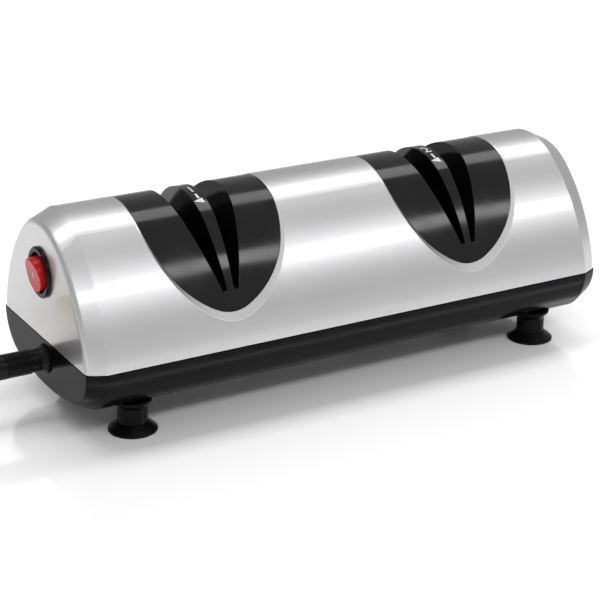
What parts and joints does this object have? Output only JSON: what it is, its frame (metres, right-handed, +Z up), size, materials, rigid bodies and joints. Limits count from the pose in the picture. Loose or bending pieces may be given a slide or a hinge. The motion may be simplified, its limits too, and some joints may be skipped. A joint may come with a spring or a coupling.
{
  "type": "electric knife sharpener",
  "caption": "Electric knife sharpener with an arched silver cover, black base on suction feet, two stages of V-shaped knife grooves, internal grinding wheels and a red rocker switch.",
  "frame": {"origin": "on the table, under the middle of the outline seen from above, without the mains lead", "axes": "+X along the body to the end away from the switch and cord, +Y from the user to the back, +Z up"},
  "size_m": [0.4038, 0.1337, 0.0847],
  "materials": {
    "silver_shell": "metallic silver lacquer on moulded plastic",
    "black_shell": "polished black",
    "black_guide": "polished black",
    "black_switch": "satin black",
    "red_rocker": "polished red",
    "black_rubber": "soft black rubber",
    "black_cord": "satin black sheath",
    "black_plug": "satin black",
    "black_plastic": "plain black",
    "lead_brown": "insulated wire",
    "lead_blue": "insulated wire",
    "sheet_steel": "zinc plated",
    "screw_steel": "zinc plated",
    "shaft_steel": "ground",
    "laminations": "stacked sheet",
    "copper_winding": "enamelled copper",
    "bronze": "sintered",
    "terminal_brass": "bright",
    "hub_aluminium": "turned",
    "coarse_abrasive": "steel disc with coarse grit",
    "fine_abrasive": "steel disc with fine grit",
    "print_white": "white pad-printed ink"
  },
  "bodies": {
    "housing": {"upper_cover": "silver_shell", "base_pan": "black_shell", "coarse_guide": "black_guide", "fine_guide": "black_guide", "motor_bracket_left": "sheet_steel", "motor_bracket_right": "sheet_steel", "shaft_bush_left": "bronze", "shaft_bush_right": "bronze", "foot_front_left": "black_rubber", "foot_front_right": "black_rubber", "foot_rear_left": "black_rubber", "foot_rear_right": "black_rubber", "stator_core": "laminations", "stator_coils": "copper_winding", "motor_bolts": "screw_steel", "motor_pads": "black_rubber", "motor_strap": "sheet_steel", "strap_screws": "screw_steel", "housing_screws": "screw_steel", "guide_screws": "screw_steel", "switch_body": "black_switch", "switch_terminals": "terminal_brass", "strain_relief": "black_cord", "cord_inner": "black_cord", "cord_clamp": "black_plastic", "clamp_screws": "screw_steel", "supply_leads": "lead_brown", "motor_lead": "lead_blue", "power_cord": "black_cord", "cord_coil": "black_cord", "plug_body": "black_plug", "plug_blades": "terminal_brass"},
    "rotor": {"motor_shaft": "shaft_steel", "rotor_core": "laminations", "cooling_fan": "black_plastic", "coarse_wheel": "coarse_abrasive", "coarse_hub": "hub_aluminium", "coarse_washer": "screw_steel", "coarse_nut": "screw_steel", "fine_wheel": "fine_abrasive", "fine_hub": "hub_aluminium", "fine_washer": "screw_steel", "fine_nut": "screw_steel"},
    "rocker": {"rocker_button": "red_rocker"}
  },
  "joints": [
    {"name": "rotor_spin", "type": "hinge", "parent": "housing", "child": "rotor", "pos_m": [0.00243, 0, 0.038], "axis": [1, 0, 0], "continuous": true},
    {"name": "rocker_tilt", "type": "hinge", "parent": "housing", "child": "rocker", "pos_m": [-0.11657, 0, 0.0602], "axis": [0, 1, 0], "range_deg": [0, 18]}
  ]
}
